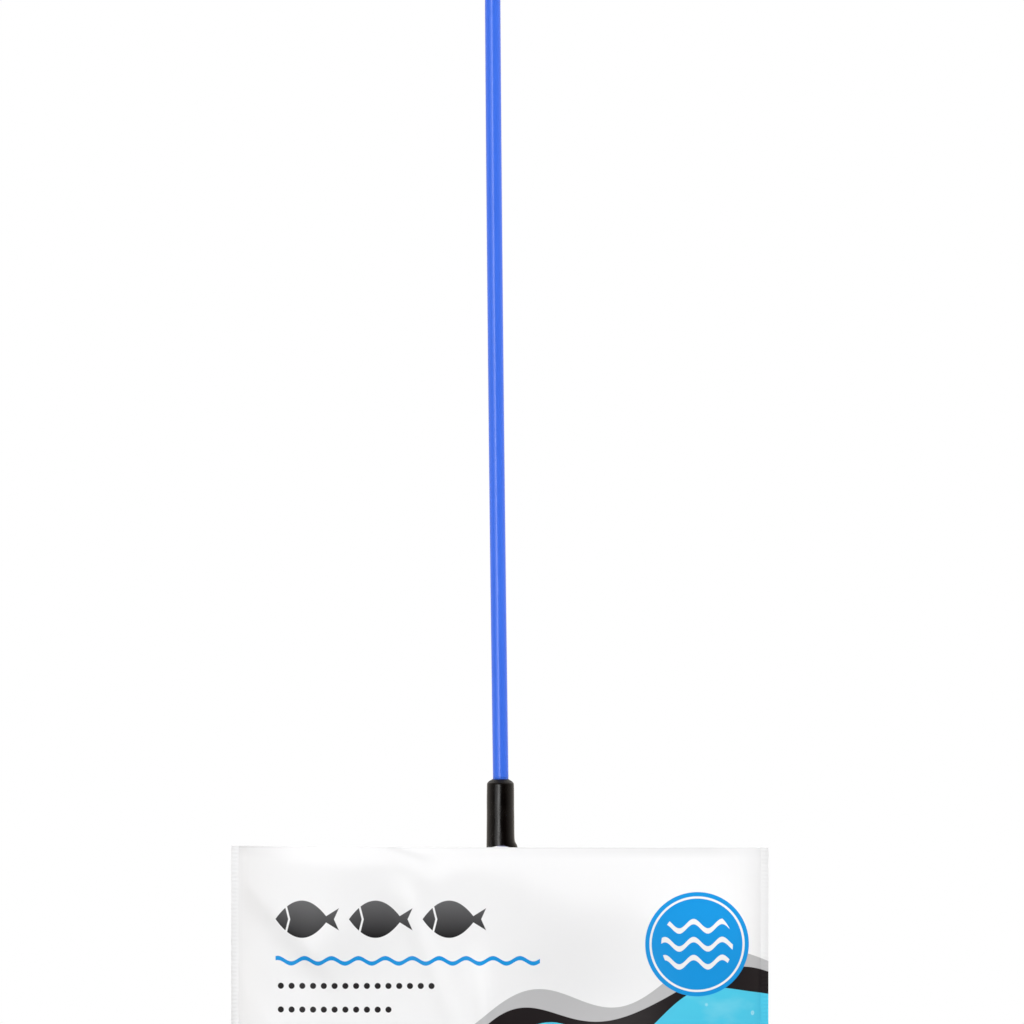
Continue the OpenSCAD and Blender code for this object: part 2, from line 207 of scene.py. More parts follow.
floor_paint, pale, floor_spot = start_material("floor_paint", (0.50, 0.50, 0.50), 0.9)
tree = floor_paint.node_tree
far = add_node(tree, "VectorMath", operation="DISTANCE", Vector=floor_spot)
feed(far.inputs[1], floor_middle)
rim = add_node(tree, "MapRange", interpolation_type="SMOOTHSTEP", Value=far.outputs["Value"])
fill_in(rim, From_Min=FLOOR_MELTS_FROM * FLOOR_R, From_Max=FLOOR_R)
blend = add_node(tree, "MixShader", Fac=rim.outputs["Result"])
feed(blend.inputs[1], pale.outputs[0])
feed(blend.inputs[2], add_node(tree, "Emission").outputs[0])
fill_in(tree.nodes["Material Output"], Surface=blend.outputs[0])
bm = bmesh.new()
bmesh.ops.create_circle(bm, cap_ends=True, segments=FLOOR_SIDES, radius=FLOOR_R)
bmesh.ops.translate(bm, vec=floor_middle, verts=bm.verts)
floor = finished("floor", bm, floor_paint, closed=False)

# Handle coating. Blue PVC, extruded over the steel wire before the end was bent round into
# the hanging eye. The long straight part has a very slight bow.
HANDLE_D, HANDLE_WIRE_D, HANDLE_SIDES, COATING_GAP = 0.00436, 0.003, 40, 0.00005
HANDLE_LEN, HANDLE_LEAN, COATING_SEAT = 0.250, radians(0.58), 0.003
EYE_R, EYE_BEND_R, EYE_GAP = 0.0101, 0.008, 0.0003
CAP_WALL, CAP_LEN = 0.00035, 0.004
HANDLE_BOW, HANDLE_SIDE = 0.00022, 0.00008
STRAIGHT_STEP, BEND_STEP = 0.004, radians(5)
TOUCHING = 1e-7


def walk(steps, start, turn_step=BEND_STEP):
    """Matrices along a bent wire: each step is (length, 0) or (radius, turn), as for a bender."""
    at = Matrix.Identity(4)
    places = [at.copy()]
    for size, turn in steps:
        if turn == 0:
            pieces = max(1, round(size / STRAIGHT_STEP))
            move = Matrix.Translation((0, 0, size / pieces))
        else:
            pieces = max(2, ceil(abs(turn) / turn_step))
            side = copysign(size, turn)
            turned = Matrix.Rotation(turn / pieces, 4, "Y")
            move = Matrix.Translation((side, 0, 0)) @ turned @ Matrix.Translation((-side, 0, 0))
        for _ in range(pieces):
            at = at @ move
            places.append(at.copy())
    return [start @ place for place in places]


def grid(bm, wide, high):
    """A grid that many squares wide and high, as the column and row of each of its points."""
    made = bmesh.ops.create_grid(bm, x_segments=wide, y_segments=high, size=1.0)["verts"]
    return {vert: (round((vert.co.x + 1) / 2 * wide), round((vert.co.y + 1) / 2 * high)) for vert in made}


def reach_of(points):
    """How far along their run the points lie."""
    reach = [0.0]
    for before, after in zip(points, points[1:]):
        reach.append(reach[-1] + (after - before).length)
    return reach


def sweep(bm, places, radius, sides, uv=None):
    """A grid rolled up into a tube along places. Returns the edges of its first and last rings."""
    last = len(places) - 1
    spots = grid(bm, sides, last)
    size = radius if callable(radius) else lambda share, angle: radius
    if uv is not None:
        reach = reach_of([place.translation for place in places])
        for face in {face for vert in spots for face in vert.link_faces}:
            for loop in face.loops:
                around, step = spots[loop.vert]
                loop[uv].uv = (around / sides, reach[step])
    for vert, (around, step) in spots.items():
        angle = 2 * pi * around / sides
        wide = size(step / last, angle)
        vert.co = places[step] @ Vector((wide * cos(angle), wide * sin(angle), 0))
    seam = [vert for vert, (around, _) in spots.items() if around in (0, sides)]
    bmesh.ops.remove_doubles(bm, verts=seam, dist=TOUCHING)
    ends = []
    for end in (0, last):
        ring = {vert for vert, (_, step) in spots.items() if step == end and vert.is_valid}
        meeting = {edge for vert in ring for edge in vert.link_edges}
        ends.append([edge for edge in meeting if set(edge.verts) <= ring])
    return ends


def grain(spot, scale, stretch=(1, 1, 1), detail=3.0):
    """Noise on Object coordinates, drawn out where a stretch is below 1. Most of it lies
    between 0.3 and 0.7."""
    fitted = add_node(spot.id_data, "Mapping", Vector=spot, Scale=stretch).outputs[0]
    return add_node(spot.id_data, "TexNoise", Vector=fitted, Scale=scale, Detail=detail).outputs["Fac"]


def bump(shader, height, depth, strength):
    """Gives the shader relief of a real depth in metres."""
    made = add_node(shader.id_data, "Bump", Height=height, Distance=depth, Strength=strength)
    fill_in(shader, Normal=made.outputs[0])


def blue_pvc():
    material, shader, spot = start_material("blue_pvc", (0.052, 0.17, 0.84), 0.26)
    streaks = spread(grain(spot, 900, (1, 1, 0.03)), 0, 1, 0.3, 0.7)
    fill_in(
        shader, Base_Color=two_tone(streaks, (0.048, 0.160, 0.81), (0.056, 0.180, 0.87)),
        Roughness=spread(grain(spot, 350), 0.21, 0.25, 0.3, 0.7),
    )
    bump(shader, grain(spot, 700, (1, 1, 0.25)), 0.00002, 0.3)
    return material


both_r = EYE_R + EYE_BEND_R
eye_bend_drop = sqrt(both_r ** 2 - EYE_BEND_R ** 2)
eye_bend_turn = atan2(eye_bend_drop, EYE_BEND_R)
cap_r = HANDLE_D / 2 + COATING_GAP + CAP_WALL
tip_reach = EYE_BEND_R + HANDLE_D / 2 + cap_r + EYE_GAP
eye_open = acos((EYE_R ** 2 + both_r ** 2 - tip_reach ** 2) / (2 * EYE_R * both_r))
eye_turn = 2 * pi - eye_open - cap_r / EYE_R
handle_steps = [
    (HANDLE_LEN + COATING_SEAT - eye_bend_drop, 0),
    (EYE_BEND_R, -eye_bend_turn),
    (EYE_R, eye_turn),
]


def bow(places):
    """Bends the straight part of the handle by a hair, as a wire off a reel is."""
    for place in places:
        share = (place.translation.z + HANDLE_LEN) / (HANDLE_LEN - eye_bend_drop)
        if 0 < share < 1:
            place.translation = place.translation - Vector((4 * HANDLE_BOW * share * (1 - share), 0, 0))
    return places


handle_start = Matrix.Translation((0, 0, -HANDLE_LEN - COATING_SEAT))
lean = Matrix.Translation((HANDLE_SIDE, 0, 0)) @ Matrix.Rotation(-HANDLE_LEAN, 4, "Y")
handle_places = [lean @ place for place in bow(walk(handle_steps, handle_start))]
pvc = blue_pvc()


def coated_tube(name, places, outer, inner, sides, material):
    """An open tube with a wall, closed by a ring at each end. Its UV map runs round and along."""
    bm = bmesh.new()
    uv = bm.loops.layers.uv.new("UVMap")
    outer_ends = sweep(bm, places, outer, sides, uv)
    inner_ends = sweep(bm, places, inner, sides, uv)
    for outer_end, inner_end in zip(outer_ends, inner_ends):
        bmesh.ops.bridge_loops(bm, edges=[*outer_end, *inner_end])
    return finished(name, bm, material)


handle_coating = coated_tube(
    "handle_coating_skin", handle_places, HANDLE_D / 2, HANDLE_WIRE_D / 2 + COATING_GAP, HANDLE_SIDES, pvc
)
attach(handle_coating, "net")
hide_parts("handle_coating")

# Cap on the eye's cut end. Soft black vinyl that is dipped and pushed on, with a round tip
# and an open end that hugs the coating.
CAP_TAPER, CAP_HUG, CAP_SIDES = 0.00012, 2.2, 32
CAP_STEP, CAP_TIP_RINGS = radians(3), 9
DRAWN_DULLER, DRAWN_FADE = 0.40, 0.0007


def calc(operation, *values):
    """One Math node; numbers and sockets may be mixed."""
    tree = next(value.id_data for value in values if isinstance(value, bpy.types.NodeSocket))
    made = add_node(tree, "Math", operation=operation)
    for target, value in zip(made.inputs, values):
        feed(target, value)
    return made.outputs[0]


def black_vinyl(name, drawn_z=None):
    """Satin vinyl, and duller where it is drawn in above drawn_z."""
    material, shader, spot = start_material(name, (0.0022, 0.0015, 0.0012), 0.26)
    cloud = grain(spot, 260, detail=4)
    tone = spread(cloud, 0, 1, 0.35, 0.7)
    gloss = spread(cloud, 0.20, 0.29, 0.3, 0.7)
    if drawn_z is not None:
        drawn_in = spread(split(spot)["Z"], 0, DRAWN_DULLER, drawn_z, drawn_z + DRAWN_FADE)
        gloss = calc("ADD", gloss, drawn_in)
    fill_in(
        shader, Base_Color=two_tone(tone, (0.0012, 0.0006, 0.0005), (0.0036, 0.0024, 0.0019)),
        Roughness=gloss,
        Specular_IOR_Level=0.45,
    )
    bump(shader, grain(spot, 1500, detail=5), 0.00003, 0.6)
    return material


vinyl = black_vinyl("black_vinyl")
cap_turn = CAP_LEN / EYE_R
cap_start = walk([*handle_steps[:2], (EYE_R, eye_turn - cap_turn)], handle_start)[-1]
cap_places = walk([(EYE_R, cap_turn)], lean @ cap_start, CAP_STEP)
ring_count = len(cap_places)
for i in range(1, CAP_TIP_RINGS + 1):
    turn = pi / 2 * i / CAP_TIP_RINGS
    cap_places.append(cap_places[ring_count - 1] @ Matrix.Translation((0, 0, cap_r * sin(turn))))


def cap_radius(share, angle):
    ring = round(share * (len(cap_places) - 1))
    if ring < ring_count:
        return cap_r + CAP_TAPER * (ring / ring_count - 1) * (1 if ring else CAP_HUG)
    return cap_r * cos(pi / 2 * (ring - ring_count + 1) / CAP_TIP_RINGS)


bm = bmesh.new()
outer_first, _ = sweep(bm, cap_places, cap_radius, CAP_SIDES)
inner_first, inner_last = sweep(bm, cap_places[:ring_count], HANDLE_D / 2 + COATING_GAP / 2, CAP_SIDES)
bmesh.ops.bridge_loops(bm, edges=[*outer_first, *inner_first])
bmesh.ops.holes_fill(bm, edges=inner_last)
bmesh.ops.remove_doubles(bm, verts=bm.verts, dist=TOUCHING)
loop_cap = finished("loop_cap_skin", bm, vinyl)
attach(loop_cap, "net")
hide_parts("loop_end_cap")


# Handle core, hoop core and neck ferrule. Drawn steel wire inside the blue coatings, and the
# short steel tube that is crimped on it inside the sleeve; they keep the solid model's shapes.
def steel():
    material, shader, spot = start_material("drawn_steel", (0.56, 0.57, 0.58), 0.3)
    lines = grain(spot, 1400, (1, 1, 0.02))
    tone = spread(lines, 0, 1, 0.35, 0.65)
    fill_in(
        shader, Base_Color=two_tone(tone, (0.48, 0.49, 0.50), (0.62, 0.63, 0.64)),
        Roughness=spread(lines, 0.22, 0.42, 0.3, 0.7),
        Metallic=1.0,
    )
    bump(shader, lines, 0.00001, 0.5)
    return material


wire_steel = steel()
for name in ("handle_core", "hoop_core", "neck_ferrule"):
    nodes[name].data.materials.clear()
    nodes[name].data.materials.append(wire_steel)

# Neck sleeve. A dipped vinyl sleeve pushed down over the ferrule. Its top is drawn in round
# the handle, and the hoop's wires spread its mouth into a lip on the right.
SLEEVE_LEN, SLEEVE_TOP_R, SLEEVE_LOW_R, SLEEVE_BORE_R = 0.0194, 0.00380, 0.00391, 0.00275
SLEEVE_HOLE_R, SLEEVE_TOP_WALL, SLEEVE_SIDES = 0.00222, 0.0015, 72
# The drawn-in top, as (in from the side, down from the top), and how far down it is dull.
SLEEVE_DOME = (
    (0.00150, 0.0), (0.00140, 0.00008), (0.00123, 0.00019), (0.00102, 0.00031), (0.00079, 0.00045),
    (0.00058, 0.00059), (0.00040, 0.00075), (0.00026, 0.00091), (0.00012, 0.00108), (0.00005, 0.00128),
    (0.00002, 0.00158),
)
SLEEVE_DULL = 0.0013
# Rings down the side, and how much closer they lie towards the lip.
SIDE_RINGS, SIDE_CLOSER = 16, 1.35
LIP_H, LIP_OUT, LIP_MOST, LIP_SPREAD = 0.0021, 0.00122, 0.00088, radians(52)
FLARE_H, FLARE_OUT = 0.009, 0.00018
MOULD_LINE, MOULD_LINE_AT, MOULD_LINE_WIDE = 0.00005, radians(160), radians(5)
UNEVEN, UNEVEN_ROUND, UNEVEN_UP = 0.00004, 260, 180
sleeve_low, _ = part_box("neck_sleeve")
neck = Vector((bag_x, 0, sleeve_low.z))


def sleeve_profile():
    """Radius and height from the bore's mouth up, over the domed top and down to the lip."""
    under_top = SLEEVE_LEN - SLEEVE_TOP_WALL
    bore = [(SLEEVE_BORE_R, height) for height in (0, SLEEVE_LEN / 2, under_top)]
    hole = [(SLEEVE_HOLE_R, height) for height in (under_top, SLEEVE_LEN - SLEEVE_TOP_WALL / 6)]
    dome = [(SLEEVE_TOP_R - inwards, SLEEVE_LEN - down) for inwards, down in SLEEVE_DOME]
    side = []
    for i in range(1, SIDE_RINGS + 1):
        share = i / SIDE_RINGS
        wide = SLEEVE_TOP_R + (SLEEVE_LOW_R - SLEEVE_TOP_R) * share
        side.append((wide, dome[-1][1] * (1 - share) ** SIDE_CLOSER))
    return [*bore, *hole, *dome, *side]


bm = bmesh.new()
profile = [bm.verts.new((radius, 0, height)) for radius, height in sleeve_profile()]
outline = [bm.edges.new(pair) for pair in zip(profile, profile[1:] + profile[:1])]
bmesh.ops.spin(
    bm, geom=profile + outline, axis=(0, 0, 1), cent=(0, 0, 0), angle=2 * pi,
    steps=SLEEVE_SIDES, use_merge=True,
)
bmesh.ops.remove_doubles(bm, verts=bm.verts, dist=TOUCHING)
for vert in bm.verts:
    x, y, z = vert.co
    radius, turn = hypot(x, y), atan2(y, x)
    if radius < SLEEVE_BORE_R + 1e-5:
        continue
    near_lip = max(0.0, 1 - z / LIP_H)
    flare = FLARE_OUT * max(0.0, 1 - z / FLARE_H) ** 2
    right = exp(-(turn / LIP_SPREAD) ** 2)
    line = exp(-((abs(turn) - MOULD_LINE_AT) / MOULD_LINE_WIDE) ** 2)
    wave = noise.noise(Vector((x * UNEVEN_ROUND, y * UNEVEN_ROUND, z * UNEVEN_UP)))
    spread_out = min(LIP_MOST, flare + LIP_OUT * near_lip) * right
    grown = radius + spread_out + MOULD_LINE * line + UNEVEN * wave
    vert.co.x *= grown / radius
    vert.co.y *= grown / radius
bmesh.ops.translate(bm, vec=neck, verts=bm.verts)
neck_vinyl = black_vinyl("neck_vinyl", neck.z + SLEEVE_LEN - SLEEVE_DULL)
neck_sleeve = finished("neck_sleeve_skin", bm, neck_vinyl)
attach(neck_sleeve, "net")
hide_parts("neck_sleeve")

# Hoop coating. Thinner blue PVC wire that leaves the sleeve as two legs side by side, slopes
# out to the upper corners and closes round the net in one piece.
HOOP_D, HOOP_WIRE_D, HOOP_SIDES, HOOP_W, HOOP_DROP = 0.0026, 0.0018, 24, 0.127, 0.115
SHOULDER_ANGLE, NECK_BEND_R = radians(75), 0.010
TOP_CORNER_R, LOW_CORNER_R, LEG_DROP, COATING_LEG = 0.018, 0.018, 0.0015, 0.0063
leg_x = HOOP_D / 2 + COATING_GAP
half_w = HOOP_W / 2
shoulder_wide = half_w - leg_x - (NECK_BEND_R + TOP_CORNER_R) * (1 - cos(SHOULDER_ANGLE))
shoulder_len = shoulder_wide / sin(SHOULDER_ANGLE)
out_dir = Vector((cos(SHOULDER_ANGLE), sin(SHOULDER_ANGLE)))
neck_c = Vector((leg_x + NECK_BEND_R, -LEG_DROP))
shoulder_top = neck_c - NECK_BEND_R * out_dir
shoulder_end = shoulder_top + shoulder_len * Vector((out_dir.y, -out_dir.x))
top_c = shoulder_end - TOP_CORNER_R * out_dir
low_c = Vector((half_w - LOW_CORNER_R, LOW_CORNER_R - HOOP_DROP))
half_hoop = [
    (shoulder_len, 0),
    (TOP_CORNER_R, -SHOULDER_ANGLE),
    (top_c.y - low_c.y, 0),
    (LOW_CORNER_R, -pi / 2),
]
hoop_round = [*half_hoop, (HOOP_W - 2 * LOW_CORNER_R, 0), *half_hoop[::-1]]
leg_steps = [(COATING_LEG + LEG_DROP, 0), (NECK_BEND_R, SHOULDER_ANGLE)]
whole_hoop = [*leg_steps, *hoop_round, *leg_steps[::-1]]
hoop_start = Matrix.Translation(neck + Vector((leg_x, 0, COATING_LEG))) @ Matrix.Rotation(pi, 4, "X")
hoop_places = walk(whole_hoop, hoop_start)
hoop_coating = coated_tube(
    "hoop_coating_skin", hoop_places, HOOP_D / 2, HOOP_WIRE_D / 2 + COATING_GAP, HOOP_SIDES, pvc
)
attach(hoop_coating, "net")
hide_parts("hoop_coating")

# Hem tape. Blue woven nylon tape, rolled round the hoop's wire from shoulder to shoulder. One
# edge laps over the other on the inner side, and the stitches pucker it a little.
TAPE_R, TAPE_LAP, LAP_TURN, TAPE_SIDES = 0.0018, 0.00022, radians(150), 36
PUCKER, PUCKERS = 0.00006, 96


def wave_of(value, count):
    """A smooth 0 to 1 wave with that many crests for each unit of value."""
    turn = calc("MULTIPLY", value, 2 * pi * count)
    return calc("MULTIPLY_ADD", calc("SINE", turn), 0.5, 0.5)


def woven_tape(name, colour, shade, threads_round, threads_per_m):
    """Cloth tape whose weave follows the piece's own UV map, in threads a turn and a metre."""
    material, shader, spot = start_material(name, colour, 0.72)
    across = split(spot.node.outputs["UV"])
    weave = calc("MAXIMUM", wave_of(across[0], threads_round), wave_of(across[1], threads_per_m))
    fleck = spread(grain(spot, 1100, detail=2), 0.7, 1, 0.3, 0.7)
    # The tone is darker between the threads: painted shade in the weave's gaps, broken up by a random
    # fleck.
    tone = two_tone(calc("MULTIPLY", weave, fleck), shade, colour)
    fill_in(shader, Base_Color=tone, Sheen_Weight=0.25, Sheen_Roughness=0.5)
    bump(shader, weave, 0.00008, 0.8)
    return material


def tape_radius(share, angle):
    lap = (angle - LAP_TURN) % (2 * pi) / (2 * pi)
    return TAPE_R - TAPE_LAP / 2 + TAPE_LAP * lap + PUCKER * sin(share * 2 * pi * PUCKERS)


def finer(places, parts):
    """The same run of places with each step cut into parts."""
    fine = []
    for before, after in zip(places, places[1:]):
        fine += [before, *(before.lerp(after, i / parts) for i in range(1, parts))]
    return [*fine, places[-1]]


hem_places = walk(hoop_round, walk(leg_steps, hoop_start)[-1])
blue_tape = woven_tape(
    "blue_tape", (0.05, 0.125, 0.55), (0.015, 0.04, 0.2), threads_round=24, threads_per_m=1700
)
hem_tape = coated_tube(
    "hem_tape_skin", finer(hem_places, 3), tape_radius, HOOP_D / 2 + COATING_GAP / 2, TAPE_SIDES, blue_tape
)
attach(hem_tape, "net")
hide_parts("hem_tape")

# Mesh panels. Fine white nylon netting. The back panel hangs behind the hoop's wire from the
# shoulders to the pocket's foot; the front one closes the pocket below the bottom wire.
POCKET_DEPTH, POCKET_TAPER, POCKET_CORNER_R = 0.060, 0.008, 0.016
NET_PITCH, NET_THREAD_R, NET_WEAVE = 0.00125, 0.00018, 0.0001
KNOTTED, RIM_CLEAR, AREA_CELL = 1e-6, 0.0019, 0.001
# Each panel's place, how far in from its edges it starts to hang free, and its sag.
BACK_NET_Y, BACK_FREE_IN, BACK_SAG, BACK_FOLD = 0.00218, 0.012, 0.00075, 0.0009
FRONT_NET_Y, FRONT_FREE_IN, FRONT_FREE_BELOW, FRONT_SAG, FRONT_FOLD = 0.0, 0.010, 0.008, 0.0008, 0.0016
# Layers of folds, and of the threads' drift, as (waves a metre across, and down, seed, share).
BACK_FOLDS = ((62, 21, 0, 1), (150, 60, 4, 0.5))
FRONT_FOLDS = ((75, 18, 9, 1), (170, 70, 7, 0.4))
THREAD_DRIFT = ((90, 90, 2, 0.0003),)
pocket_z = -HOOP_DROP - POCKET_DEPTH
pocket_c = Vector((half_w - POCKET_TAPER - POCKET_CORNER_R, pocket_z + POCKET_CORNER_R))


def net_half(z):
    """Half of the net's width at a height below the sleeve, from the neck to the pocket's foot."""
    if z > neck_c.y or z < pocket_z:
        return 0.0
    if z > shoulder_top.y:
        return neck_c.x - sqrt(NECK_BEND_R ** 2 - (z - neck_c.y) ** 2)
    if z > shoulder_end.y:
        return shoulder_top.x + (shoulder_top.y - z) * tan(SHOULDER_ANGLE)
    if z > top_c.y:
        return top_c.x + sqrt(TOP_CORNER_R ** 2 - (z - top_c.y) ** 2)
    if z > low_c.y:
        return half_w
    if z > pocket_c.y:
        return half_w - POCKET_TAPER * (low_c.y - z) / (low_c.y - pocket_c.y)
    return pocket_c.x + sqrt(max(0.0, POCKET_CORNER_R ** 2 - (z - pocket_c.y) ** 2))


def in_pocket_front(x, z):
    corner = Vector((max(0.0, abs(x) - low_c.x), min(0.0, z - low_c.y)))
    return z < low_c.y and abs(x) < net_half(z) and corner.length > LOW_CORNER_R + RIM_CLEAR


def clamp(share):
    return max(0.0, min(1.0, share))


def folds(x, z, layers):
    """Height of soft folds in cloth or film, as a sum of layers of noise."""
    return sum(part * noise.noise(Vector((x * wide, seed, z * deep))) for wide, deep, seed, part in layers)


def sag_back(x, z):
    """Soft folds of the back panel, none at its hem."""
    free = clamp(min(net_half(z) - abs(x), z - pocket_z) / BACK_FREE_IN)
    return BACK_NET_Y + free * (BACK_SAG + BACK_FOLD * folds(x, z, BACK_FOLDS))


def sag_front(x, z):
    """Soft hanging folds of the pocket's front, none at its seam and at the wire."""
    inwards = min(net_half(z) - abs(x), z - pocket_z) / FRONT_FREE_IN
    free = clamp(min(inwards, (-HOOP_DROP - z) / FRONT_FREE_BELOW))
    return FRONT_NET_Y - free * (FRONT_SAG + FRONT_FOLD * folds(x, z, FRONT_FOLDS))


def threads(bm, across, knots, upright, depth):
    """All the threads that run one way: a grid rolled up into three-sided threads, which pass
    over and under the ones across them. across and knots are lists of places."""
    spots = grid(bm, 4 * len(across) - 1, len(knots) - 1)
    faces = {face for vert in spots for face in vert.link_faces}
    between = [face for face in faces if min(spots[vert][0] for vert in face.verts) % 4 == 3]
    for vert, (column, row) in spots.items():
        thread, side = divmod(column, 4)
        turn = radians(90 + 120 * side)
        over = NET_WEAVE if (thread + row + upright) % 2 else -NET_WEAVE
        x, z = (across[thread], knots[row]) if upright else (knots[row], across[thread])
        y = depth(x, z) + over + NET_THREAD_R * sin(turn)
        shift = NET_THREAD_R * cos(turn) + folds(x, z, THREAD_DRIFT)
        vert.co = Vector((x + shift, y, z)) if upright else Vector((x, y, z + shift))
    bmesh.ops.delete(bm, geom=between, context="FACES_ONLY")


def netting(name, top, inside, depth):
    """A panel of net: threads both ways over a rectangle, cut to the panel's outline."""
    half_count = ceil(half_w / NET_PITCH)
    columns = [NET_PITCH * (i + 0.5) for i in range(-half_count, half_count)]
    rows = [pocket_z + NET_PITCH * (i + 0.5) for i in range(ceil((top - pocket_z) / NET_PITCH))]
    bm = bmesh.new()
    threads(bm, columns, rows, 1, depth)
    threads(bm, rows, columns, 0, depth)
    outside = [face for face in bm.faces if not inside(*face.calc_center_median().xz)]
    bmesh.ops.delete(bm, geom=outside, context="FACES")
    loose = [vert for vert in bm.verts if not vert.link_faces]
    bmesh.ops.delete(bm, geom=loose, context="VERTS")
    bmesh.ops.remove_doubles(bm, verts=bm.verts, dist=KNOTTED)
    bmesh.ops.translate(bm, vec=neck, verts=bm.verts)
    return finished(name, bm, white_nylon)


def nylon(name, colour, shade, rough):
    material, shader, spot = start_material(name, colour, rough)
    fibres = grain(spot, 2600, detail=2)
    fill_in(
        shader, Base_Color=two_tone(spread(fibres, 0, 1, 0.3, 0.7), shade, colour),
        Roughness=spread(fibres, rough - 0.08, rough + 0.08, 0.3, 0.7),
        Sheen_Weight=0.15,
    )
    bump(shader, fibres, 0.00004, 0.5)
    return material


def flat_area(inside):
    """Area of a panel's cut, counted in square millimetres."""
    wide, high = round(HOOP_W / AREA_CELL), round(-pocket_z / AREA_CELL)
    cells = [(i + 0.5, j + 0.5) for i in range(wide) for j in range(high)]
    return sum(inside(x * AREA_CELL - half_w, -z * AREA_CELL) for x, z in cells) * AREA_CELL ** 2


white_nylon = nylon("white_nylon", (0.86, 0.89, 0.90), (0.70, 0.74, 0.77), 0.5)
mesh_back = netting("mesh_back_skin", neck_c.y, lambda x, z: abs(x) < net_half(z), sag_back)
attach(mesh_back, "net")
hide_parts("mesh_back_panel")
flat_area(lambda x, z: abs(x) < net_half(z))
mesh_front = netting("mesh_front_skin", low_c.y, in_pocket_front, sag_front)
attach(mesh_front, "net")
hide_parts("mesh_front_panel")
flat_area(in_pocket_front)

# Seam tape. The same blue tape, folded over the edges of both panels down the pocket's sides
# and along its foot, and sewn through.
SEAM_W, SEAM_FRONT_Y, SEAM_BACK_Y = 0.003, -0.0004, 0.0023
SEAM_SQUARE, SEAM_SIDES, SEAM_TOP_DROP, SEAM_STEPS = 3.2, 32, 0.0025, 12
SEAM_PUCKER, SEAM_PUCKERS = 0.03, 58


def pocket_edge(inset):
    """Points down the right side of the pocket, round its foot and up the left side."""
    under_hem = sqrt((LOW_CORNER_R + RIM_CLEAR) ** 2 - LOW_CORNER_R ** 2)
    top_z = low_c.y - under_hem - SEAM_TOP_DROP
    shares = [i / SEAM_STEPS for i in range(SEAM_STEPS + 1)]
    heights = [top_z + (pocket_c.y - top_z) * share for share in shares]
    half = [Vector((net_half(z) - inset, z)) for z in heights]
    for share in shares[1:]:
        turn = -pi / 2 * share
        half.append(pocket_c + (POCKET_CORNER_R - inset) * Vector((cos(turn), sin(turn))))
    half += [Vector((pocket_c.x * (1 - share), pocket_z + inset)) for share in shares[1:-1]]
    return half + [Vector((-point.x, point.y)) for point in reversed(half)]


def along(points, y):
    """Matrices along points below the sleeve, with local z along the run and x outwards."""
    places = []
    for i, point in enumerate(points):
        run = (points[min(i + 1, len(points) - 1)] - points[max(i - 1, 0)]).normalized()
        places.append(Matrix((
            (-run.y, 0, run.x, neck.x + point.x),
            (0, -1, 0, y),
            (run.x, 0, run.y, neck.z + point.y),
            (0, 0, 0, 1),
        )))
    return places


def seam_radius(share, angle):
    wide, thick = SEAM_W / 2, (SEAM_BACK_Y - SEAM_FRONT_Y) / 2
    edge = abs(cos(angle) / wide) ** SEAM_SQUARE + abs(sin(angle) / thick) ** SEAM_SQUARE
    return edge ** (-1 / SEAM_SQUARE) * (1 + SEAM_PUCKER * sin(share * 2 * pi * SEAM_PUCKERS))


def closed_run(bm, places, radius, sides, uv=None):
    """A tube along places whose two ends are closed."""
    for end in sweep(bm, places, radius, sides, uv):
        bmesh.ops.holes_fill(bm, edges=end)


seam_points = pocket_edge(SEAM_W / 2)
seam_places = along(seam_points, (SEAM_FRONT_Y + SEAM_BACK_Y) / 2)
bm = bmesh.new()
uv = bm.loops.layers.uv.new("UVMap")
closed_run(bm, finer(seam_places, 4), seam_radius, SEAM_SIDES, uv)
seam_tape = finished("seam_tape_skin", bm, blue_tape)
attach(seam_tape, "net")
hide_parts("seam_tape")

# Stitching. Pale polyester thread in a plain lockstitch, one row behind the hoop's wire and
# one down the middle of the seam tape. Each stitch dips into the cloth at its ends.
STITCH_LEN, STITCH_PITCH, THREAD_R, STITCH_SIDES = 0.0026, 0.0032, 0.0002, 6
STITCH_SKEW, STITCH_DIP, STITCH_DIPS = 0.08, 0.0003, (1, 0.25, 0, 0.25, 1)
HEM_STITCH_Y = 0.0025


def stitch_row(name, points, y, material):
    """Stitches at an even pitch along points, lying on a surface at y that faces backwards."""
    bm = bmesh.new()
    reach = reach_of(points)
    count = int(reach[-1] / STITCH_PITCH)
    leg = 0
    for i in range(count):
        middle = (i + 0.5) * reach[-1] / count
        while reach[leg + 1] < middle:
            leg += 1
        share = (middle - reach[leg]) / (reach[leg + 1] - reach[leg])
        point = points[leg].lerp(points[leg + 1], share)
        run = (points[leg + 1] - points[leg]).normalized() * STITCH_LEN / 2
        half = run + Vector((-run.y, run.x)) * STITCH_SKEW
        places = along([point - half, point - half / 2, point, point + half / 2, point + half], y)
        for place, dip in zip(places, STITCH_DIPS):
            place.translation.y -= dip * STITCH_DIP
        closed_run(bm, places, THREAD_R, STITCH_SIDES)
    return finished(name, bm, material)


thread = nylon("sewing_thread", (0.74, 0.82, 0.90), (0.52, 0.62, 0.74), 0.55)
hem_points = [(place.translation - neck).xz for place in hem_places]
hem_stitches = stitch_row("hem_stitch_row", hem_points, HEM_STITCH_Y + THREAD_R / 2, thread)
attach(hem_stitches, "net")
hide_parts("hem_stitching")
seam_stitches = stitch_row("seam_stitch_row", seam_points, SEAM_BACK_Y + THREAD_R / 2, thread)
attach(seam_stitches, "net")
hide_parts("seam_stitching")

# Bag's front film. White printed polypropylene. It stands off over the hoop and the sleeve, is
# drawn in beside the sleeve, and its mouth runs straight across with a fine pressed edge.
MM = 0.001
SEAL_W, BAG_BULGE, FILM_T = 2.2 * MM, 10.6 * MM, 0.15 * MM
SIDE_POWER, END_POWER = 8, 8
MOUTH_POWER, MOUTH_ROUND = 6, 36 * MM
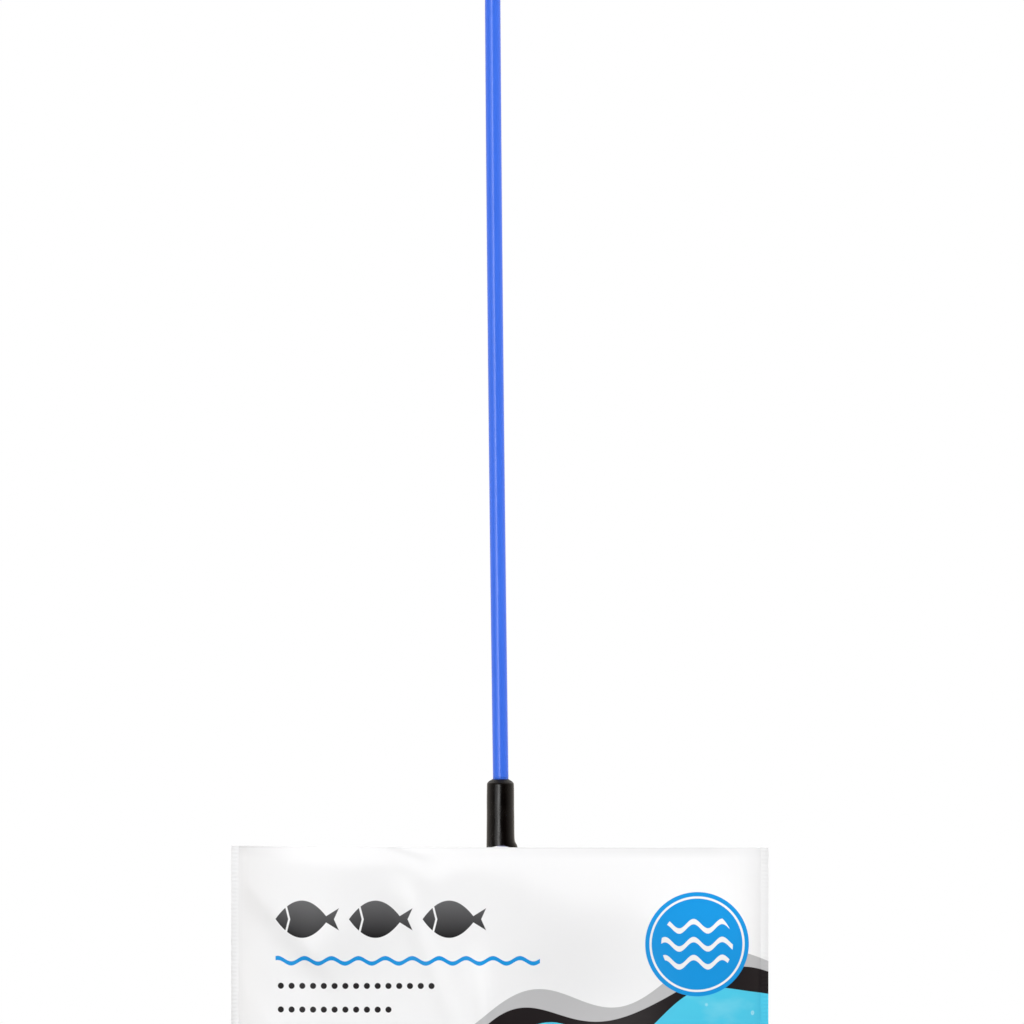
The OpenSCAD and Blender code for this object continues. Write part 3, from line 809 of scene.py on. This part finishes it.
# The mouth's edge: how far it slopes, rises over the sleeve and stands off at the seals, how
# deep the film follows it, and the rise's middle and half width in millimetres.
EDGE_TILT, EDGE_RISE, EDGE_LIFT, EDGE_DEPTH = 0.55 * MM, 0.42 * MM, 0.27 * MM, 3.0
RISE_X, RISE_WIDE = 0.35, 1.9
FILM_COLUMNS, NECK_COLUMN = 168, 0.45 * MM
# The bag hangs a hair to the left of the handle's middle.
film_x = bag_x - 0.19 * MM
# Where the drawn-in band below the mouth ends, as (across, below the mouth), how far it leans,
# how soft its end is on the left and on the right, and where and how fast that changes.
BAND_FOOT = (
    (-75, 0.4), (-66, 1.2), (-55.8, 4.2), (-42.6, 5.6), (-28.6, 4.6), (-18.6, 9.2), (-11, 6.6),
    (3.8, 7.6), (11.3, 13.2), (23.3, 17.4), (33.6, 17.0), (42, 21.0), (56, 24.5), (75, 28),
)
BAND_LEAN, BAND_SHARP, BAND_SOFT, SOFT_FROM_X, SOFT_OVER = 0.105, 0.45, 1.9, 2, 5
# Ridges, as (from, to, half width above and below the crest, height).
RIDGES = (
    ((-30, -0.4), (-21.5, 2.3), (2.4, 0.8), 0.16),
    ((-73, 6.5), (-53, 27.5), (24, 4.4), 1.15),
    ((-73, 38), (-62, 54), (3.5, 8), 0.35),
    ((-36, 60), (-12, 92), (4, 3), 0.5),
    ((44, 78), (18, 108), (3.6, 5), 0.5),
    ((-54, 98), (-30, 132), (3.4, 5), 0.5),
    ((-38, 150), (-64, 178), (2.2, 3), 0.5),
    ((40, 146), (64, 176), (2.4, 3), 0.5),
    ((6, 120), (26, 160), (4, 3), 0.5),
    ((-20, 176), (18, 182), (2, 1.4), 0.3),
)
RIDGE_RUN_OUT = 2.4
# Places where the film comes forward, as (from, to, half width, how far).
LEANS = (
    ((-30, 5.5), (-25.4, 17), 2.6, 0.7),
    ((-6.4, 25), (-4.4, 45.5), 2.6, 1.5),
)
LEAN_FADE = 70
# Broad dents and swells, as (middle, half width and half depth, height).
DENTS = (
    ((-46, 2), (17, 12), 0.65),
    ((20, 50), (20, 24), -2.7),
    ((-36, 46), (22, 26), -0.9),
    ((-30, 84), (26, 20), -0.9),
    ((34, 132), (18, 16), -0.9),
    ((-36, 150), (18, 20), -0.8),
)
FILM_FOLDS = ((38, 26, 3, 0.14), (120, 70, 8, 0.02))
# How soon the creases, the band and the foot's creases come in from the edges.
CREASE_IN, BAND_IN, FOOT_IN = 5, 2.5, 2.2
bag_half = (bag_high.x - bag_low.x) / 2 - SEAL_W
bag_depth = (bag_high.z - bag_low.z) - SEAL_W
film_back_y = bag_low.y


def eased(share):
    """A share from 0 to 1 that starts and ends gently."""
    share = clamp(share)
    return share * share * (3 - 2 * share)


def line_at(points, x):
    """Height of a smooth line through points at x."""
    for (x0, z0), (x1, z1) in zip(points, points[1:]):
        if x <= x1:
            return z0 + (z1 - z0) * eased((x - x0) / (x1 - x0))
    return points[-1][1]


def from_line(here, start, end):
    """The share along a line, the distance off it with its sign, and how far past its ends."""
    run = end - start
    share = (here - start).dot(run) / run.length_squared
    off = (run.x * (here.y - start.y) - run.y * (here.x - start.x)) / run.length
    return share, off, max(0.0, -share, share - 1) * run.length


def creases(x, depth):
    """Height of all ridges, leans and dents at a point of the film, in millimetres."""
    here, height = Vector((x, depth)), 0.0
    for start, end, (above, below), high in RIDGES:
        share, off, past = from_line(here, Vector(start), Vector(end))
        off *= 1 if start[0] < end[0] else -1
        wide = below if off > 0 else above
        height += high * exp(-(off / wide) ** 2 - (past / (RIDGE_RUN_OUT * below)) ** 2)
    for start, end, wide, high in LEANS:
        share, off, past = from_line(here, Vector(start), Vector(end))
        height += high * eased(share) * exp(-(off / wide) ** 2 - (past / LEAN_FADE) ** 2)
    for (dent_x, dent_z), (wide, deep), high in DENTS:
        height += high * exp(-((x - dent_x) / wide) ** 2 - ((depth - dent_z) / deep) ** 2)
    return height


def band_sink(x, depth):
    """How far the film is drawn in at a point of the band below the mouth, in millimetres."""
    soft = BAND_SHARP + (BAND_SOFT - BAND_SHARP) / (1 + exp(-(x - SOFT_FROM_X) / SOFT_OVER))
    above = (line_at(BAND_FOOT, x) - depth) / soft
    sink = above if above > 30 else log1p(exp(above))
    return BAND_LEAN * soft * sink * (1 - eased((depth - BAND_FOOT[-1][1]) / MOUTH_ROUND * MM))


def tilt_at(x):
    """How far the mouth's slope has brought the film down at x from the bag's middle."""
    return EDGE_TILT * (x / (2 * bag_half))


def film_spot(x, depth):
    """The film's outer face at x from the bag's middle and depth below its mouth."""
    power = MOUTH_POWER + (SIDE_POWER - MOUTH_POWER) * eased(depth / MOUTH_ROUND)
    side = max(0.0, 1 - abs(x / bag_half) ** power)
    foot = max(0.0, 1 - abs(depth / bag_depth) ** END_POWER)
    x_mm, depth_mm = x / MM, depth / MM
    relief = (creases(x_mm, depth_mm) + folds(x, depth, FILM_FOLDS)) * min(1.0, CREASE_IN * side)
    relief -= band_sink(x_mm, depth_mm) * min(1.0, BAND_IN * side)
    bulge = EDGE_LIFT + (BAG_BULGE - EDGE_LIFT) * side * sqrt(foot)
    out = bulge + relief * MM * min(1.0, FOOT_IN * foot)
    rise = EDGE_RISE * exp(-((x_mm - RISE_X) / RISE_WIDE) ** 4)
    lift = max(0.0, 1 - depth_mm / EDGE_DEPTH) * (rise - tilt_at(x))
    return Vector((film_x + x, film_back_y - out, mouth_z - depth + lift))


# The print, in millimetres from the middle of the mouth.
FISH_LEFT, FISH_STEP, FISH_COUNT, FISH_Z = -62.5, 20.5, 3, -20.0
FISH_LONG, FISH_HIGH, GILL_AT, GILL_HALF, GILL_SLOPE = 7.4, 5.2, -0.48, 0.28, 0.25
TAIL_FROM, TAIL_LONG, TAIL_SLOPE, FORK_SLOPE = 0.72, 3.6, 0.62, 0.45
RULE_Z, RULE_HALF, RULE_END = -31.6, 0.6, 11.2
DOT_ROWS, DOT_STEP, DOT_R = ((-38.6, -17.0), (-45.2, -29.0)), 3.0, 0.85
BADGE_X, BADGE_Z, BADGE_R = 55.0, -27.0, 14.5
BADGE_WAVES, BADGE_WAVE_HALF = (-22.0, -27.0, -32.0), 0.75
BLUE, DARK, PALE = (0.012, 0.30, 0.73), (0.017, 0.0135, 0.0145), (0.86, 0.86, 0.87)
RISE_NAVY, PAINTED_EDGE_SHADE = (0.015, 0.03, 0.26), (0.60, 0.60, 0.61)
add, less, times, times_add, power, size_of = [
    partial(calc, kind) for kind in ("ADD", "SUBTRACT", "MULTIPLY", "MULTIPLY_ADD", "POWER", "ABSOLUTE")
]


def away_from(value, middle):
    return size_of(less(value, middle))


def inked(distance, soft=0.12):
    """1 inside a shape and 0 outside, from the distance to its edge."""
    return spread(distance, 1, 0, -soft / 2, soft / 2)


def band(value, middle, half):
    """1 where a value is within half of the middle."""
    return inked(less(away_from(value, middle), half))


def within(value, low, high):
    return band(value, (low + high) / 2, (high - low) / 2)


def wavy(value, height, length, shift=0.0):
    return times(calc("SINE", times_add(value, 2 * pi / length, shift)), height)


def from_point(across, up):
    """Distance from a point, out of the distances across and up to it."""
    return calc("SQRT", add(power(across, 2), power(up, 2)))


def fish_row(x, z, in_step):
    """Plain fish in a row: a lens with a gill line and a forked tail each."""
    in_cell = less(in_step(FISH_STEP), FISH_LONG)
    up = away_from(z, FISH_Z)
    back = times(power(size_of(calc("DIVIDE", in_cell, FISH_LONG)), 2), FISH_HIGH)
    body = add(less(up, FISH_HIGH), back)
    tail_x = less(in_cell, TAIL_FROM * FISH_LONG)
    tail_end = less(tail_x, times_add(up, FORK_SLOPE, TAIL_LONG))
    tail = calc("MAXIMUM", less(up, times(tail_x, TAIL_SLOPE)), tail_end)
    gill = band(times_add(up, GILL_SLOPE, in_cell), GILL_AT * FISH_LONG, GILL_HALF)
    row = within(x, FISH_LEFT, FISH_LEFT + FISH_COUNT * FISH_STEP - 1)
    return times(times(inked(calc("MINIMUM", body, tail)), less(1, gill)), row)


def deep_water(spot, spot_mm, z):
    """Blue water that darkens downwards, with pale swirls and rings of bubbles."""
    water = two_tone(spread(z, 0, 1, -190, -40), (0.010, 0.16, 0.50), (0.085, 0.60, 0.82))
    swirl = spread(grain(spot, 42, (1, 1, 2.2), 4), 0, 0.55, 0.48, 0.72)
    water = two_tone(swirl, water, (0.30, 0.75, 0.88))
    per_mm = 0.16
    cells = add_node(spot.id_data, "TexVoronoi", Vector=spot_mm, Scale=per_mm).outputs["Distance"]
    bubble = inked(less(away_from(times(cells, 1 / per_mm), 0.75), 0.14), 0.2)
    return two_tone(times(bubble, 0.5), water, (0.62, 0.88, 0.95))


def printed_film():
    """White film with a plain printed design: small fish, a wavy rule, dots, a round badge and
    waves over deep water."""
    material, shader, spot = start_material("printed_film", (0.88, 0.885, 0.895), 0.30)
    haze = grain(spot, 60, detail=1)
    in_mm = add_node(spot.id_data, "Mapping", Vector=spot, Scale=(1 / MM, 1 / MM, 1 / MM))
    in_mm.inputs["Location"].default_value = (-film_x / MM, 0, -mouth_z / MM)
    x, _, z = split(in_mm.outputs[0])
    off_middle = size_of(x)

    def in_step(step):
        return calc("MODULO", less(x, FISH_LEFT), step)

    def lay(share, ink):
        """Prints an ink over what is there, where share is 1."""
        nonlocal colour
        colour = two_tone(share, colour, ink)

    # The film itself: a navy line along the mouth's rise over the sleeve, painted shade below the
    # mouth and a painted dark line of shade along its edge, whiter where it is welded, and grey at
    # the cut edges that is partly their own tone and partly painted shade, deeper downwards.
    colour = two_tone(haze, (0.878, 0.882, 0.892), (0.884, 0.888, 0.898))
    # A navy line along the top of the mouth's rise over the sleeve.
    lay(times(within(times_add(x, 0.05, z), 0.25, 1), within(x, -0.8, 3)), RISE_NAVY)
    # Painted shade: grey below the mouth in the left corner and along the right side, where the edge curls
    # down into shade, and a thin dark line of painted shade along the mouth's edge.
    left_corner_shade = spread(x, 0.28, 0, -73, -54)
    right_side_shade = less(spread(x, 0, 0.40, -10, 42), spread(x, 0, 0.26, 58, 70))
    lay(times(spread(z, 0, 0.9, -3.2, -0.3), add(left_corner_shade, right_side_shade)), PAINTED_EDGE_SHADE)
    at_mouth = add(left_corner_shade, spread(x, 0.02, 0.28, -50, 0))
    lay(times(within(z, -0.34, 0.5), at_mouth), PAINTED_EDGE_SHADE)
    lay(spread(off_middle, 0, 0.4, 72.7, 73.1), (0.93, 0.932, 0.938))
    # Grey at the cut edges: partly the welded margins' own tone, partly painted shade that deepens
    # downwards.
    at_cut = power(spread(off_middle, 0, 1, 71.5, 75), 2)
    lay(times(at_cut, spread(z, 0.55, 0.26, -48, -14)), (0.60, 0.60, 0.60))

    # Three plain fish, darker towards the belly, a blue wavy rule and two rows of small dots.
    belly = spread(z, 0, 1, FISH_Z - FISH_HIGH, FISH_Z + FISH_HIGH)
    lay(fish_row(x, z, in_step), two_tone(belly, (0.010, 0.009, 0.010), (0.13, 0.13, 0.135)))
    rule = band(add(z, wavy(x, 0.75, 7.5)), RULE_Z, RULE_HALF)
    lay(times(rule, within(x, FISH_LEFT, RULE_END)), BLUE)
    for row_z, row_end in DOT_ROWS:
        dot = from_point(away_from(in_step(DOT_STEP), DOT_STEP / 2), away_from(z, row_z))
        lay(times(inked(less(dot, DOT_R)), within(x, FISH_LEFT, row_end)), DARK)

    # Deep water below a swell: a grey and a black line over blue that darkens downwards.
    swell = add(times_add(x, 0.21, -46.5), wavy(x, 5, 52, 0.6))
    depth = less(z, swell)
    lay(inked(depth), (0.51, 0.51, 0.52))
    lay(inked(add(less(depth, wavy(x, 1.6, 39, 2)), 4.6)), DARK)
    in_water = inked(add(less(depth, wavy(x, 1.2, 31, 4)), 9.6))
    lay(in_water, deep_water(spot, in_mm.outputs[0], z))

    # Round blue badge with a white ring and three white waves.
    to_badge = from_point(away_from(x, BADGE_X), away_from(z, BADGE_Z))
    lay(inked(less(to_badge, BADGE_R)), BLUE)
    lay(band(to_badge, BADGE_R - 1.5, 0.3), PALE)
    for wave_z in BADGE_WAVES:
        crest = band(add(z, wavy(x, 1.3, 8)), wave_z, BADGE_WAVE_HALF)
        lay(times(crest, inked(less(to_badge, BADGE_R - 4.5))), PALE)

    fill_in(shader, Base_Color=colour, Roughness=spread(haze, 0.28, 0.33), Specular_IOR_Level=0.12)
    bump(shader, grain(spot, 160, (1, 1, 0.6), 1), 0.00002, 0.3)
    return material


def rows_of_film():
    """Depths of the film's rows: fine at the pressed edge, closer again at the bottom."""
    depths = [0, 0.02, 0.3, 0.55, 0.75, 0.95, 1.25, 1.7, 2.3, 3.0]
    depths += [3.8 + 0.85 * i for i in range(60)]
    depths += [depths[-1] + 2.1 * i for i in range(1, 44)]
    last, whole = depths[-1], bag_depth / MM
    depths += [last + (whole - last) * sin(pi / 2 * i / 24) for i in range(1, 25)]
    return [depth * MM for depth in depths]


def film_sheet(name, columns, rows, spot, material, thickness, offset=-1):
    """A grid whose points are moved to their places on the film. It faces forwards and gets
    its thickness behind them, or on both sides where offset is 0."""
    bm = bmesh.new()
    for vert, (column, row) in grid(bm, len(columns) - 1, len(rows) - 1).items():
        vert.co = spot(columns[column], rows[row])
    bm.normal_update()
    if sum(face.normal.y for face in bm.faces) > 0:
        bmesh.ops.reverse_faces(bm, faces=bm.faces)
    film = finished(name, bm, material, closed=False)
    wall = film.modifiers.new("film_wall", "SOLIDIFY")
    wall.thickness, wall.offset = thickness, offset
    return film


def white_inner():
    """The film's unprinted inner face, greyer than the print, in a faint random cloud."""
    material, shader, spot = start_material("white_inner_film", (0.80, 0.81, 0.82), 0.42)
    cloud = grain(spot, 140, detail=4)
    fill_in(
        shader, Base_Color=two_tone(cloud, (0.77, 0.78, 0.79), (0.84, 0.85, 0.86)),
        Roughness=spread(cloud, 0.36, 0.48, 0.3, 0.7),
    )
    bump(shader, grain(spot, 420, (1, 1, 0.6), 4), 0.00003, 0.5)
    return material


white_print = printed_film()
film_columns = [bag_half * sin(pi * (i / FILM_COLUMNS - 0.5)) for i in range(FILM_COLUMNS + 1)]
near_neck = [i * NECK_COLUMN for i in range(-8, 9)]
film_columns = sorted([x for x in film_columns if abs(x) > near_neck[-1] + NECK_COLUMN / 2] + near_neck)
front_film = film_sheet("bag_front_skin", film_columns, rows_of_film(), film_spot, white_print, FILM_T)
front_film.data.materials.append(white_inner())
front_film.modifiers["film_wall"].material_offset = 1
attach(front_film, "bag")
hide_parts("bag_front_film")

# Heat seals. The flat margins where the front film is welded to the back one, pressed by
# ribbed jaws down both sides and along the bottom.
RIB_PITCH, RIB_H, RIB_STEPS, SEAL_T, SEAL_RIM = 1.1 * MM, 0.03 * MM, 4, 0.3 * MM, 0.02 * MM
RIB_FADE = 8


def seal(name, left, right, foot, top, down_ribs):
    """A welded strip with ribs across it, from left to right and foot to top of the bag."""
    length = (right - left) if down_ribs else (top - foot)
    steps = round(length / RIB_PITCH) * RIB_STEPS
    rim = SEAL_RIM / length
    fine = [0, rim, *(i / steps for i in range(1, steps)), 1 - rim, 1]
    coarse = [0, 0.01, *(i / 6 for i in range(1, 6)), 0.99, 1]
    shares_x, shares_z = (fine, coarse) if down_ribs else (coarse, fine)

    def ribbed(share_x, share_z):
        along_seal = (share_x if down_ribs else share_z) * length
        across = share_z if down_ribs else share_x
        fade = min(1.0, RIB_FADE * across * (1 - across))
        rib = RIB_H * cos(2 * pi * along_seal / RIB_PITCH) * fade
        x, z = left + (right - left) * share_x, foot + (top - foot) * share_z
        tilt = 0.0 if down_ribs else tilt_at(x) * share_z
        return Vector((film_x + x, film_back_y - SEAL_T + RIB_H - rib, z - tilt))

    strip = film_sheet(name, shares_x, shares_z, ribbed, white_print, SEAL_T - 2 * RIB_H)
    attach(strip, "bag")
    return strip


bag_foot_z = bag_low.z
left_seal = seal("bag_left_weld", -bag_half - SEAL_W, -bag_half, bag_foot_z, mouth_z, False)
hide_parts("bag_left_seal")
right_seal = seal("bag_right_weld", bag_half, bag_half + SEAL_W, bag_foot_z, mouth_z, False)
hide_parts("bag_right_seal")
bottom_seal = seal("bag_bottom_weld", -bag_half, bag_half, bag_foot_z, bag_foot_z + SEAL_W, True)
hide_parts("bag_bottom_seal")

# Bag's back film. Clear film that shows the net. It lies flat in its welds and stands up in
# slight ripples between them.
BACK_RIPPLE, BACK_LEVEL, BACK_WAVES = 0.5 * MM, 0.6, ((36, 24, 5, 1.0), (110, 80, 6, 0.4))
BACK_SHORT, BACK_SHORT_DEPTH, BACK_SIDE_POWER, BACK_FOOT_POWER = 0.55 * MM, 10 * MM, 4, 8
BACK_COLUMNS, BACK_ROWS = 100, 120
CUT_FROM, CUT_TO = 1.9 * MM, 1.2 * MM


def clear_film():
    """Clear film with a faint veil, paler and closer at the cut edge of the mouth."""
    material, shader, spot = start_material("clear_film", (0.90, 0.93, 0.95), 0.16)
    cloud = grain(spot, 45, (1, 1, 0.5), 4)
    at_mouth = spread(split(spot)["Z"], 0, 0.5, mouth_z - CUT_FROM, mouth_z - CUT_TO)
    fill_in(
        shader, Base_Color=two_tone(times(at_mouth, 2), (0.86, 0.90, 0.93), (0.50, 0.55, 0.60)),
        Roughness=spread(cloud, 0.10, 0.24, 0.3, 0.7),
        Alpha=add(spread(cloud, 0.14, 0.22, 0.35, 0.65), at_mouth),
    )
    bump(shader, grain(spot, 300, (1, 1, 0.4), 3), 0.00004, 0.5)
    return material


def back_spot(x, depth):
    """The back film's middle at x from the bag's middle and depth below its mouth."""
    side = max(0.0, 1 - abs(x / bag_half) ** BACK_SIDE_POWER)
    foot = max(0.0, 1 - abs(depth / bag_depth) ** BACK_FOOT_POWER)
    wave = max(0.0, BACK_LEVEL + folds(x, depth, BACK_WAVES))
    drop = max(0.0, 1 - depth / BACK_SHORT_DEPTH) * (BACK_SHORT * side + tilt_at(x))
    back_y = film_back_y + 2 * FILM_T + BACK_RIPPLE * wave * side * foot
    return Vector((film_x + x, back_y, mouth_z - depth - drop))


whole_half = bag_half + SEAL_W
back_columns = [whole_half * (2 * i / BACK_COLUMNS - 1) for i in range(BACK_COLUMNS + 1)]
back_rows = [(bag_depth + SEAL_W) * i / BACK_ROWS for i in range(BACK_ROWS + 1)]
back_film = film_sheet("bag_back_skin", back_columns, back_rows, back_spot, clear_film(), FILM_T, 0)
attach(back_film, "bag")
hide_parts("bag_back_film")
